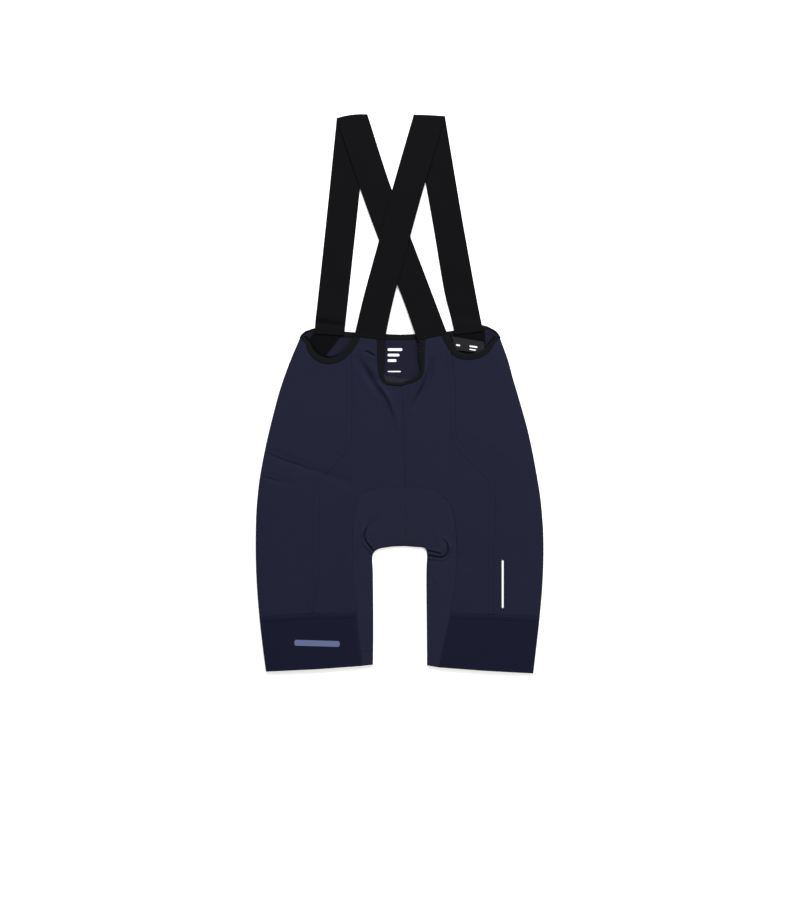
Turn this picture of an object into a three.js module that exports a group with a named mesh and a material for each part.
// Cycling bib shorts lying flat, front side up, with both shoulder straps folded over at the top.
// Millimetres, +Z up. The origin is the middle of the garment's footprint, on the surface it lies on.
// X runs across the garment and +Y towards the shoulder straps.
import * as THREE from 'three';

// Driving sizes
const WALL = 1.1; // stretch jersey
const SEAM = 0.3; // space between two sewn pieces
const FOLD_RADIUS = 1.7; // outer radius of the folds at the sides, the crotch and the inner legs
const FRONT_TOP = 4.6; // outer face of the front layer, away from its folds
const WAIST_RISE = 1; // how much higher the front layer lies over the strap ends
const WAIST_RISE_FROM = 10; // the Y where that rise starts
const WAIST_RISE_OVER = 50;
const RISE_LENGTH = 13; // distance in which the front layer rises from a fold
const FRONT_LOWEST = 2.9;
const FRONT_HIGHEST = 5.9;
const BACK_WRAP = 26; // how far the side panels reach round to the back
const SCOOP_FADE = 4; // sections over which the curve of a scooped edge dies out below it
const STRAP = 1.2; // thickness of the elastic strap
const STRAP_FOLD_RADIUS = 1.5;
const BAND = 1.5; // elastic binding along the back's top edge
const BINDING_OVER = 0.35; // how far a binding stands out of the jersey, outside
const BINDING_UNDER = 0.25; // and inside
const ANCHOR = 1.0; // patch that carries a strap's end
const LABEL = 0.8;
const BAND_CORNER = 0.14; // share of the way from the side fold to the back seam at which the band starts

// Grid density
const FRONT_COLUMNS = 6;
const SIDE_COLUMNS = 8;
const INNER_COLUMNS = 3;
const FOLD_STEPS = 4;
const HIDDEN_COLUMNS = 3;
const BACK_COLUMNS = 4;
const STRAP_COLUMNS = 4;
const STRAP_STEP = 17;
const SAME_PLACE = 1e-4; // places nearer than this are one

// Sections of each half, from the peak where a strap is sewn on down to the hem. Columns:
// fold: the side fold; princess: the seam between front and side panel, and on the gripper its middle;
// inner: the notch, then the centre seam, then the inner panel's seam; crotch: the fold at the crotch
// and the inner leg; steps: rows of the grid down to the next section.
const PEAK = 0;
const WAIST = 2;
const NOTCH_BOTTOM = 5;
const GUSSET = 8;
const CUFF = 14;
const HEM = 16;
const LEFT = [
  { princess: [-54.2, 76.9], inner: [-31.5, 74.1], steps: 2 },
  { princess: [-60, 65], inner: [-30.8, 60], steps: 2 },
  { fold: [-136.5, 76.5], princess: [-66.5, 56.5], inner: [-30.5, 46], steps: 2 },
  { fold: [-149, 47], princess: [-66.2, 33], inner: [-28.5, 27], steps: 2 },
  { fold: [-158, 23], princess: [-66, 20], inner: [-20.5, 13.5], steps: 2 },
  { fold: [-165.5, 0], princess: [-66, 5], inner: [1.7, 10.8], steps: 4 },
  { fold: [-177.5, -46], princess: [-66.5, -38], inner: [4.5, -37], steps: 3 },
  { fold: [-184.5, -77], princess: [-69, -73], inner: [6, -80], steps: 4 },
  { fold: [-191.5, -115], princess: [-92, -103], inner: [7, -129], crotch: [7.5, -208.6], steps: 3 },
  { fold: [-194.5, -140], princess: [-108, -120.5], inner: [-27, -129.5], crotch: [-12, -209.6], steps: 3 },
  { fold: [-196.3, -164], princess: [-111, -143], inner: [-51.5, -138.5], crotch: [-29, -213.9], steps: 3 },
  { fold: [-197, -190], princess: [-111.2, -170], inner: [-62, -161], crotch: [-36.2, -220.5], steps: 3 },
  { fold: [-197, -225], princess: [-111.5, -210], inner: [-65, -208], crotch: [-36.6, -243], steps: 3 },
  { fold: [-195.5, -262], princess: [-112.5, -252], inner: [-64, -248], crotch: [-36.3, -268], steps: 4 },
  { fold: [-192, -306], princess: [-119.5, -301.5], inner: [-59.5, -300.5], crotch: [-36, -303], steps: 3 },
  { fold: [-188, -342], princess: [-117.5, -340], inner: [-56, -337], crotch: [-36, -338], steps: 3 },
  { fold: [-183, -380.5], princess: [-113, -377], inner: [-51.5, -372.5], crotch: [-36.5, -371], steps: 0 },
];
const RIGHT = [
  { princess: [57.5, 79.5], inner: [35.5, 74.6], steps: 2 },
  { princess: [63, 67.5], inner: [34.4, 60], steps: 2 },
  { fold: [137.5, 76.5], princess: [70.3, 55.5], inner: [34, 46], steps: 2 },
  { fold: [148.5, 46], princess: [72.8, 33], inner: [32.5, 27], steps: 2 },
  { fold: [155, 22], princess: [74.5, 16.5], inner: [22.5, 17], steps: 2 },
  { fold: [161.5, 0], princess: [75.7, -1], inner: [1.7, 10.8], steps: 4 },
  { fold: [174.5, -46], princess: [76, -36], inner: [4.5, -37], steps: 3 },
  { fold: [181.5, -77], princess: [79, -63], inner: [6, -80], steps: 4 },
  { fold: [188.5, -115], princess: [104, -94], inner: [7, -129], crotch: [7.5, -208.6], steps: 3 },
  { fold: [192.5, -140], princess: [125, -114.5], inner: [41.5, -130.5], crotch: [22, -209.9], steps: 3 },
  { fold: [195, -164], princess: [129.8, -137], inner: [60, -142], crotch: [33.5, -212.2], steps: 3 },
  { fold: [196.7, -190], princess: [129.7, -165], inner: [71.5, -160], crotch: [36.8, -217], steps: 3 },
  { fold: [197, -225], princess: [128.5, -208], inner: [77.3, -200], crotch: [36.7, -240], steps: 3 },
  { fold: [195.5, -262], princess: [128, -250], inner: [76.7, -246], crotch: [36.6, -265], steps: 4 },
  { fold: [191.8, -305.5], princess: [127.5, -302.5], inner: [69.3, -301.5], crotch: [37, -303], steps: 3 },
  { fold: [187.8, -342], princess: [122, -341], inner: [61.5, -338], crotch: [37.3, -338], steps: 3 },
  { fold: [183, -382.9], princess: [117, -379.2], inner: [53.5, -374.5], crotch: [37.5, -372], steps: 0 },
];

// The scooped edge of each side panel, from the princess seam out to the side fold. The lift raises the
// back's top edge at the side seam above the fold, and the sag curves that edge down towards the centre.
const LEFT_TOP = {
  scoop: [[-66.5, 56.5], [-76, 47.5], [-97, 40.5], [-114.5, 45.5], [-126.5, 58], [-131, 70],
    [-136.5, 76.5]],
  lift: 5.5,
  sag: 1.1,
};
const RIGHT_TOP = {
  scoop: [[70.3, 55.5], [79, 49], [97, 46.5], [114, 51], [124, 58], [130, 67],
    [137.5, 76.5]],
  lift: 9.2,
  sag: 2.3,
};
const BACK_CENTRE_TOP = [0, 74.2];

// Widths of the elastic bindings, evenly spaced along each: from the side fold to the peak, round the
// notch from left to right, and along the back from corner to corner
const SCOOP_BINDING = [3.5, 6, 8, 8, 8.5, 9.5, 10, 9.5, 9];
const NOTCH_BINDING = [10.8, 10.5, 9.5, 7.5, 7, 5, 6.5, 8, 9.3, 9.5];
const BACK_BINDING = [6.5, 9, 7, 7, 7, 7, 7, 7, 7, 7, 7.3, 9, 3.5];

// The largest folds of the front layer. Columns: path, half width, and height, less than 0 for a trough.
const FOLDS = [
  { path: [[-184, -80], [-150, -94], [-104, -110], [-72, -121]], half: 7, height: -0.9 },
  { path: [[-180, -68], [-140, -84]], half: 8, height: 0.5 },
  { path: [[-190, -111], [-154, -122]], half: 6, height: -0.7 },
  { path: [[-58, 47], [-49, 32], [-37, 15]], half: 6, height: -0.9 },
  { path: [[-26, 10], [-12, -7], [-6, -22], [-1, -44]], half: 6, height: 0.8 },
  { path: [[41, 44], [40, 28], [33, 10], [23, -5], [20, -18]], half: 6, height: -1 },
  { path: [[-33, -174], [-42, -183], [-48, -199], [-40, -209]], half: 6, height: -1.1 },
  { path: [[-28, -180], [-35, -192], [-36, -203]], half: 5, height: 0.6 },
  { path: [[62, -204], [65, -216], [60, -223], [46, -223]], half: 6, height: -1 },
  { path: [[52, -195], [56, -208]], half: 5, height: 0.5 },
  { path: [[7, -20], [6, -70], [7, -125]], half: 9, height: -0.5 },
  { path: [[90, -40], [112, -70], [150, -92]], half: 12, height: 0.5 },
  { path: [[7, -140], [7, -190]], half: 24, height: 0.6 },
];

// Straps, from the peak where each is sewn on, up to the fold at the top and down to its end on the
// back. Columns: left and right edge, and the height of the strap's underside. The row with a crown is
// the fold's line, which bends up by that much, and the back limb starts there.
const STRAPS = {
  strap_from_left_peak: [
    { left: [-62.2, 78.4], right: [-20.5, 73.1], under: 4.4 },
    { left: [-50.3, 129], right: [-8.9, 127], under: 3.8 },
    { left: [-28.4, 210], right: [14.4, 214.5], under: 3.1 },
    { left: [-9.7, 281.3], right: [35.1, 289], under: 3.3 },
    { left: [19, 382.5], right: [62.5, 380.3], under: 1.8, crown: 0.3 },
    { left: [45.6, 232], right: [86.4, 236], under: 0 },
    { left: [62.3, 135], right: [104.4, 136.5], under: 0 },
    { left: [69.8, 106], right: [110.3, 106], under: 0 },
    { left: [73.4, 90.5], right: [112.4, 95.5], under: 1.8 },
    { left: [75.8, 80.8], right: [113.8, 86.2], under: 1.8 },
  ],
  strap_from_right_peak: [
    { left: [24.3, 72.6], right: [65.3, 81.7], under: 4.4 },
    { left: [4.4, 129.5], right: [46.4, 132], under: 2.1 },
    { left: [-28.3, 210], right: [15, 214.5], under: 1.1 },
    { left: [-53.6, 279], right: [-11.4, 281.5], under: 1.6 },
    { left: [-86.5, 377.5], right: [-43.9, 382.8], under: 1.8, crown: 2 },
    { left: [-100.7, 235], right: [-59.1, 235], under: 0 },
    { left: [-114.8, 104], right: [-73.3, 104], under: 0 },
    { left: [-116, 91.5], right: [-74.8, 91], under: 1.8 },
    { left: [-116.5, 82.6], right: [-76, 79.8], under: 1.8 },
  ],
};

// The patches inside the waist that carry the straps' ends, and the blank care label over one of them
const LEFT_ANCHOR = [[-124, 73.8], [-114.5, 79.4], [-80, 77.8], [-104.5, 49]];
const RIGHT_ANCHOR = [[78.5, 77.8], [113.5, 83.4], [121, 75.5], [101, 52]];
const CARE_LABEL = [[76, 60], [72, 78.5], [115, 71], [117, 55]];

const COLOURS = {
  jersey: 0x242537,
  inner: 0x232436,
  gripper: 0x1a1b2c,
  elastic: 0x17171a,
  label: 0x3c3c3e,
};
const ROUGHNESS = { jersey: 0.8, gripper: 0.7, elastic: 0.75, label: 0.8 };

const flat = ([x, y]) => new THREE.Vector2(x, y);
const smooth = (x) => THREE.MathUtils.smoothstep(x, 0, 1);

// A line through one column of a section table. It is a smooth curve, apart from its corners, and its
// parameter is the section's number.
function column(table, name, corners) {
  const first = table.findIndex((row) => row[name]);
  const stops = [first, ...corners, HEM];
  const curves = stops.slice(1).map((stop, i) => {
    const rows = table.slice(stops[i], stop + 1);
    const points = rows.map((row) => new THREE.Vector3(...row[name], 0));
    return new THREE.CatmullRomCurve3(points, false, 'centripetal');
  });
  const at = (t) => {
    const i = Math.max(0, stops.slice(1, -1).filter((stop) => stop <= t + 1e-9).length);
    const share = (t - stops[i]) / (stops[i + 1] - stops[i]);
    const p = curves[i].getPoint(THREE.MathUtils.clamp(share, 0, 1));
    return new THREE.Vector2(p.x, p.y);
  };
  return { at, first };
}

// Everything that is worked out for one half
function half(table, top) {
  const fold = column(table, 'fold', []);
  const princess = column(table, 'princess', [WAIST]);
  const inner = column(table, 'inner', [NOTCH_BOTTOM, GUSSET]);
  const crotch = column(table, 'crotch', []);
  const rows = (from, to) => {
    const found = [from];
    for (let i = from; i < to; i++) {
      for (let k = 1; k <= table[i].steps; k++) {
        found.push(i + k / table[i].steps);
      }
    }
    return found;
  };
  return { fold, princess, inner, crotch, rows, top };
}

const left = half(LEFT, LEFT_TOP);
const right = half(RIGHT, RIGHT_TOP);

// The unit normal of a line at t, on the side that looks away from a point
function normalAway(line, t, from) {
  const near = 0.02; // sections
  const before = line.at(Math.max(line.first, t - near));
  const after = line.at(Math.min(HEM, t + near));
  const along = after.sub(before).normalize();
  const normal = new THREE.Vector2(-along.y, along.x);
  const outward = line.at(t).sub(from);
  return normal.dot(outward) < 0 ? normal.negate() : normal;
}

// A line's point at t, moved back from the line by half the seam's space, to the side of a point
function besideSeam(line, t, towards) {
  return line.at(t).addScaledVector(normalAway(line, t, towards), -SEAM / 2);
}

// The same on the inner seam, on the side of the front and back panels
function besideInner(side, t) {
  return t < GUSSET
    ? besideSeam(side.inner, t, side.princess.at(t))
    : side.inner.at(t).addScaledVector(normalAway(side.inner, t, side.crotch.at(t)), SEAM / 2);
}

// Distance in plan from a point to a chain of points
function distanceTo(chain, point) {
  let nearest = Infinity;
  for (let i = 1; i < chain.length; i++) {
    const along = chain[i].clone().sub(chain[i - 1]);
    const share = point.clone().sub(chain[i - 1]).dot(along) / along.lengthSq();
    const foot = chain[i - 1].clone().addScaledVector(along, THREE.MathUtils.clamp(share, 0, 1));
    nearest = Math.min(nearest, foot.distanceTo(point));
  }
  return nearest;
}

const foldChains = [left, right].flatMap((side) => [
  side.rows(WAIST, HEM).map(side.fold.at),
  side.rows(GUSSET, HEM).map(side.crotch.at),
]);
const foldPaths = FOLDS.map((row) => ({ ...row, chain: row.path.map(flat) }));

// Height of the front layer's outer face over a point in plan
function frontHeight(point) {
  const edge = 2 * FOLD_RADIUS;
  const away = Math.min(...foldChains.map((chain) => distanceTo(chain, point))) - FOLD_RADIUS;
  const rise = 1 - Math.exp(-Math.max(0, away) / RISE_LENGTH);
  const waist = WAIST_RISE * smooth((point.y - WAIST_RISE_FROM) / WAIST_RISE_OVER);
  let height = edge + (FRONT_TOP + waist - edge) * rise;
  for (const row of foldPaths) {
    height += row.height * rise * Math.exp(-((distanceTo(row.chain, point) / row.half) ** 2));
  }
  return THREE.MathUtils.clamp(height, FRONT_LOWEST, FRONT_HIGHEST);
}

// A place in a wall: its outer and its inner point
const place = (outer, inner) => ({ outer, inner });
const raised = (point, z) => new THREE.Vector3(point.x, point.y, z);

function frontPlace(point) {
  const height = frontHeight(point);
  return place(raised(point, height), raised(point, height - WALL));
}

const backPlace = (point) => place(raised(point, 0), raised(point, WALL));

// Places along the straight line from one plan point to another
function across(from, to, columns, makePlace) {
  return Array.from({ length: columns + 1 }, (_, i) => makePlace(from.clone().lerp(to, i / columns)));
}

// The half-round fold between the front and the back layer, without its two ends
function roundFold(edge, outward) {
  const centre = edge.clone().addScaledVector(outward, -FOLD_RADIUS);
  const at = (radius, angle) => {
    const point = centre.clone().addScaledVector(outward, radius * Math.cos(angle));
    return raised(point, FOLD_RADIUS + radius * Math.sin(angle));
  };
  return Array.from({ length: FOLD_STEPS - 1 }, (_, i) => {
    const angle = Math.PI / 2 - (Math.PI * (i + 1)) / FOLD_STEPS;
    return place(at(FOLD_RADIUS, angle), at(FOLD_RADIUS - WALL, angle));
  });
}

function named(name, geometry, colour, roughness) {
  const material = new THREE.MeshStandardMaterial({ color: colour, roughness, metalness: 0 });
  const mesh = new THREE.Mesh(geometry, material);
  mesh.name = name;
  return mesh;
}

// A closed wall from grids of places. Grids that share an edge, point for point, become one wall.
function clothWall(name, colour, grids, roughness = ROUGHNESS.jersey) {
  const places = [];
  const known = new Map();
  const index = (spot) => {
    const key = [...spot.outer, ...spot.inner].map((v) => Math.round(v / SAME_PLACE)).join();
    if (!known.has(key)) {
      known.set(key, places.length);
      places.push(spot);
    }
    return known.get(key);
  };
  const cells = [];
  for (const { rows, flipped } of grids) {
    const numbers = rows.map((row) => row.map(index));
    for (let j = 1; j < rows.length; j++) {
      for (let i = 1; i < rows[j].length; i++) {
        const [a, b, c, d] = [
          numbers[j - 1][i - 1], numbers[j - 1][i], numbers[j][i], numbers[j][i - 1],
        ];
        cells.push(...(flipped ? [[a, c, b], [a, d, c]] : [[a, b, c], [a, c, d]]));
      }
    }
  }
  const edges = new Map();
  for (const cell of cells) {
    for (let i = 0; i < 3; i++) {
      edges.set(`${cell[i]},${cell[(i + 1) % 3]}`, [cell[i], cell[(i + 1) % 3]]);
    }
  }
  const shift = places.length;
  const triangles = cells.flatMap(([a, b, c]) => [[a, b, c], [a + shift, c + shift, b + shift]]);
  for (const [a, b] of edges.values()) {
    if (!edges.has(`${b},${a}`)) {
      triangles.push([a, a + shift, b + shift], [a, b + shift, b]);
    }
  }
  const points = [...places.map((spot) => spot.outer), ...places.map((spot) => spot.inner)];
  let volume = 0;
  for (const [a, b, c] of triangles) {
    volume += points[a].dot(points[b].clone().cross(points[c]));
  }
  const outward = volume > 0 ? triangles : triangles.map(([a, b, c]) => [a, c, b]);
  const geometry = new THREE.BufferGeometry();
  geometry.setAttribute('position', new THREE.Float32BufferAttribute(points.flatMap((p) => [...p]), 3));
  geometry.setIndex(outward.flat());
  geometry.computeVertexNormals();
  return named(name, geometry, colour, roughness);
}

// Moves every place of a row in plan, to leave the seam's space at the end of a panel
function shiftRow(row, dx, dy) {
  const move = new THREE.Vector3(dx, dy, 0);
  return row.map((spot) => {
    return place(spot.outer.clone().add(move), spot.inner.clone().add(move));
  });
}

// The front panel of one half, from the peak to the gripper
function frontPanel(name, side) {
  const rows = side.rows(PEAK, CUFF).map((t) => {
    const start = besideSeam(side.princess, t, side.inner.at(t));
    const end = besideInner(side, t);
    return across(start, end, FRONT_COLUMNS, frontPlace);
  });
  rows.push(shiftRow(rows.pop(), 0, SEAM / 2));
  return clothWall(name, COLOURS.jersey, [{ rows }]);
}

// The back's centre line, down to the inner panels, and below them the inner panel's seam
function backInner(side, t) {
  const share = (t - WAIST) / (GUSSET - WAIST);
  return share < 1 ? flat(BACK_CENTRE_TOP).lerp(side.inner.at(GUSSET), share) : side.inner.at(t);
}

const scoopFade = (t) => 1 - smooth((t - WAIST) / SCOOP_FADE);

// Where the side panel ends on the back
function backSeam(side, t) {
  const fold = side.fold.at(t);
  const inward = backInner(side, t).sub(fold).normalize();
  return fold.addScaledVector(inward, BACK_WRAP).add(new THREE.Vector2(0, side.top.lift * scoopFade(t)));
}

// Plan points of a side panel's front part at t. Its top row follows the scoop, and the rows below
// straighten out.
function sideFront(side, t) {
  const start = besideSeam(side.princess, t, side.fold.at(t));
  const outward = normalAway(side.fold, t, side.princess.at(t));
  const end = side.fold.at(t).addScaledVector(outward, -FOLD_RADIUS);
  const scoop = new THREE.CatmullRomCurve3(
    side.top.scoop.map(([x, y]) => new THREE.Vector3(x, y, 0)), false, 'centripetal',
  );
  const chordFrom = flat(side.top.scoop[0]);
  const chordTo = flat(side.top.scoop.at(-1));
  return Array.from({ length: SIDE_COLUMNS + 1 }, (_, i) => {
    const share = i / SIDE_COLUMNS;
    const p = scoop.getPointAt(share);
    const bend = new THREE.Vector2(p.x, p.y).sub(chordFrom.clone().lerp(chordTo, share));
    return start.clone().lerp(end, share).addScaledVector(bend, scoopFade(t));
  });
}

// The side panel of one half: from the princess seam round the side fold to the back seam
function sidePanel(name, side) {
  const rows = side.rows(WAIST, CUFF).map((t) => {
    const outward = normalAway(side.fold, t, side.princess.at(t));
    const edge = side.fold.at(t);
    const under = edge.clone().addScaledVector(outward, -FOLD_RADIUS);
    const end = backSeam(side, t);
    end.addScaledVector(under.clone().sub(end).normalize(), SEAM / 2);
    return [
      ...sideFront(side, t).map((point, i) => (i < SIDE_COLUMNS ? frontPlace(point) : foldTop(point))),
      ...roundFold(edge, outward),
      ...across(under, end, HIDDEN_COLUMNS, backPlace),
    ];
  });
  rows.push(shiftRow(rows.pop(), 0, SEAM / 2));
  return clothWall(name, COLOURS.jersey, [{ rows }]);
}

// The place where a fold starts, on top
function foldTop(point) {
  return place(raised(point, 2 * FOLD_RADIUS), raised(point, 2 * FOLD_RADIUS - WALL));
}

// The inner panel of one half: from its front seam round the crotch and the inner leg to the back
function innerPanel(name, side) {
  const down = new THREE.Vector2(0, -1);
  const rows = side.rows(GUSSET, HEM).map((t) => {
    const crotch = side.crotch.at(t);
    const centre = t === GUSSET;
    const start = centre
      ? side.inner.at(t).addScaledVector(down, SEAM / 2)
      : besideSeam(side.inner, t, crotch);
    const outward = centre ? down : normalAway(side.crotch, t, side.inner.at(t));
    const under = crotch.clone().addScaledVector(outward, -FOLD_RADIUS);
    return [
      ...across(start, under, INNER_COLUMNS, frontPlace).slice(0, -1),
      foldTop(under),
      ...roundFold(crotch, outward),
      ...across(under, start, INNER_COLUMNS, backPlace),
    ];
  });
  const outwards = Math.sign(side.fold.at(WAIST).x);
  rows[0] = shiftRow(rows[0], (outwards * SEAM) / 2, 0);
  return clothWall(name, COLOURS.inner, [{ rows }]);
}

// The gripper band of one leg: from the inner panel's seam round the side fold, and back to that seam
function gripper(name, side) {
  const rows = side.rows(CUFF, HEM).map((t) => {
    const middle = side.princess.at(t);
    const outward = normalAway(side.fold, t, middle);
    const edge = side.fold.at(t);
    const under = edge.clone().addScaledVector(outward, -FOLD_RADIUS);
    const seam = besideInner(side, t);
    const front = [
      ...across(seam, middle, FRONT_COLUMNS - 1, frontPlace).slice(0, -1),
      ...across(middle, under, FRONT_COLUMNS, frontPlace).slice(0, -1),
      foldTop(under),
    ];
    return [...front, ...roundFold(edge, outward), ...across(under, seam, BACK_COLUMNS, backPlace)];
  });
  rows[0] = shiftRow(rows[0], 0, -SEAM / 2);
  return clothWall(name, COLOURS.gripper, [{ rows }], ROUGHNESS.gripper);
}

// Plan points of the back panel's row at t in one half, from the side seam to the centre
function backRow(side, t) {
  const inner = backInner(side, t);
  const start = backSeam(side, t);
  start.addScaledVector(inner.clone().sub(start).normalize(), SEAM / 2);
  const end = t > GUSSET ? besideInner(side, t) : inner.clone();
  end.y += t === GUSSET ? SEAM : 0;
  return Array.from({ length: BACK_COLUMNS + 1 }, (_, i) => {
    const share = i / BACK_COLUMNS;
    const sag = 4 * share * (1 - share) * side.top.sag * scoopFade(t);
    return start.clone().lerp(end, share).sub(new THREE.Vector2(0, sag));
  });
}

function backPanel() {
  const grids = [left, right].map((side) => {
    const rows = side.rows(WAIST, CUFF).map((t) => backRow(side, t).map(backPlace));
    rows.push(shiftRow(rows.pop(), 0, SEAM / 2));
    return { rows, flipped: side === right };
  });
  return clothWall('back_panel', COLOURS.jersey, grids);
}

// A value from an evenly spaced list, at a share of its length
function spread(list, share) {
  const at = share * (list.length - 1);
  const low = Math.min(list.length - 2, Math.floor(at));
  return THREE.MathUtils.lerp(list[low], list[low + 1], at - low);
}

// An elastic strip beside a chain of plan points, on its left-hand side as the chain runs. Its first
// and last section can be turned to a direction of their own.
function binding(name, chain, widths, makePlace, ends = []) {
  const last = chain.length - 1;
  const rows = chain.map((point, i) => {
    const along = chain[Math.min(last, i + 1)].clone().sub(chain[Math.max(0, i - 1)]).normalize();
    const own = (i === 0 && ends[0]) || (i === last && ends[1]);
    const beside = own || new THREE.Vector2(-along.y, along.x);
    const width = spread(widths, i / last);
    const near = point.clone().addScaledVector(beside, SEAM);
    return across(near, near.clone().addScaledVector(beside, width), 2, makePlace);
  });
  return clothWall(name, COLOURS.elastic, [{ rows }], ROUGHNESS.elastic);
}

function bindingPlace(point) {
  const height = frontHeight(point);
  return place(raised(point, height + BINDING_OVER), raised(point, height - WALL - BINDING_UNDER));
}

// Plan points along one scoop, from the side fold to the peak
function scoopChain(side) {
  const panel = sideFront(side, WAIST).reverse().slice(1, -1);
  const front = side.rows(PEAK, WAIST).reverse().map((t) => side.princess.at(t));
  return [...panel, ...front];
}

function notchChain() {
  const down = left.rows(PEAK, NOTCH_BOTTOM).map((t) => left.inner.at(t));
  const up = right.rows(PEAK, NOTCH_BOTTOM).reverse().slice(1).map((t) => right.inner.at(t));
  return [...down, ...up];
}

function bandChain() {
  const halves = [left, right].map((side) => {
    const fold = side.fold.at(WAIST);
    const seam = backSeam(side, WAIST);
    const corner = fold.clone().lerp(seam, BAND_CORNER);
    return [corner, fold.clone().lerp(seam, 0.5), ...backRow(side, WAIST)];
  });
  return [...halves[0], ...halves[1].reverse().slice(1)];
}

// One strap: a flat band folded over at the top, from rows of its edges
function strap(name, table) {
  const foldRow = table.findIndex((row) => row.crown);
  const limbs = [table.slice(0, foldRow + 1), table.slice(foldRow)];
  const foldLine = flat(table[foldRow].right).sub(flat(table[foldRow].left)).normalize();
  const over = new THREE.Vector2(-foldLine.y, foldLine.x);
  const strapPlace = (point, under, up) => {
    const low = raised(point, under);
    const high = raised(point, under + STRAP);
    return up ? place(high, low) : place(low, high);
  };
  const limbRows = limbs.map((rows, limb) => {
    const shifted = rows.map((row) => {
      const back = row.crown ? -STRAP_FOLD_RADIUS : 0;
      return {
        left: flat(row.left).addScaledVector(over, back),
        right: flat(row.right).addScaledVector(over, back),
        under: limb === 1 && row.crown ? 0 : row.under,
      };
    });
    const edges = ['left', 'right'].map((name) =>
      new THREE.CatmullRomCurve3(shifted.map((row) => raised(row[name], 0)), false, 'centripetal'));
    const found = [];
    for (let i = 1; i < shifted.length; i++) {
      const length = shifted[i].left.distanceTo(shifted[i - 1].left);
      const steps = Math.max(2, Math.round(length / STRAP_STEP));
      for (let k = i === 1 ? 0 : 1; k <= steps; k++) {
        const share = (i - 1 + k / steps) / (shifted.length - 1);
        const [a, b] = edges.map((edge) => edge.getPoint(share));
        const under = THREE.MathUtils.lerp(shifted[i - 1].under, shifted[i].under, smooth(k / steps));
        const bend = share === (limb === 0 ? 1 : 0) ? table[foldRow].crown : 0;
        found.push(Array.from({ length: STRAP_COLUMNS + 1 }, (_, column) => {
          const u = column / STRAP_COLUMNS;
          const point = new THREE.Vector2(a.x, a.y).lerp(new THREE.Vector2(b.x, b.y), u);
          point.addScaledVector(over, 4 * u * (1 - u) * bend);
          return strapPlace(point, under, limb === 0);
        }));
      }
    }
    return found;
  });
  const start = limbRows[0].at(-1);
  const fold = Array.from({ length: FOLD_STEPS }, (_, i) => {
    const angle = Math.PI / 2 - (Math.PI * (i + 1)) / (FOLD_STEPS + 1);
    return start.map((spot) => {
      const at = (radius) => {
        const point = new THREE.Vector2(spot.outer.x, spot.outer.y);
        point.addScaledVector(over, radius * Math.cos(angle));
        return raised(point, STRAP_FOLD_RADIUS + radius * Math.sin(angle));
      };
      return place(at(STRAP_FOLD_RADIUS), at(STRAP_FOLD_RADIUS - STRAP));
    });
  });
  const rows = [...limbRows[0], ...fold, ...limbRows[1]];
  return clothWall(name, COLOURS.elastic, [{ rows }], ROUGHNESS.elastic);
}

// A flat patch of cloth
function patch(name, colour, corners, under, thickness) {
  const geometry = new THREE.ExtrudeGeometry(new THREE.Shape(corners.map(flat)), {
    depth: thickness,
    bevelEnabled: false,
  });
  return named(name, geometry.translate(0, 0, under), colour, ROUGHNESS.label);
}

// The direction of each peak's top edge, from left to right, where the strap is sewn on, and from right
// to left
const [leftPeak, rightPeak] = Object.values(STRAPS).map(([end]) =>
  flat(end.right).sub(flat(end.left)).normalize());
const [leftPeakBack, rightPeakBack] = [leftPeak, rightPeak].map((way) => way.clone().negate());
const fromPeak = SCOOP_BINDING.toReversed();
const scoopLeft = scoopChain(left);
const scoopRight = scoopChain(right).reverse();

const anchorUnder = WALL + SEAM;
const labelUnder = anchorUnder + ANCHOR + SEAM;
const bandPlace = (point) => place(raised(point, BAND), raised(point, 0));

const garment = new THREE.Group();
garment.add(
  frontPanel('front_left', left),
  frontPanel('front_right', right),
  sidePanel('side_left', left),
  sidePanel('side_right', right),
  innerPanel('inner_left', left),
  innerPanel('inner_right', right),
  gripper('gripper_left', left),
  gripper('gripper_right', right),
  backPanel(),
  binding('binding_scoop_left', scoopLeft, SCOOP_BINDING, bindingPlace, [null, leftPeakBack]),
  binding('binding_scoop_right', scoopRight, fromPeak, bindingPlace, [rightPeak]),
  binding('binding_notch', notchChain(), NOTCH_BINDING, bindingPlace, [leftPeak, rightPeakBack]),
  binding('binding_back', bandChain(), BACK_BINDING, bandPlace),
  ...Object.entries(STRAPS).map(([name, table]) => strap(name, table)),
  patch('strap_anchor_left', COLOURS.elastic, LEFT_ANCHOR, anchorUnder, ANCHOR),
  patch('strap_anchor_right', COLOURS.elastic, RIGHT_ANCHOR, anchorUnder, ANCHOR),
  patch('care_label', COLOURS.label, CARE_LABEL, labelUnder, LABEL),
);

export default garment;
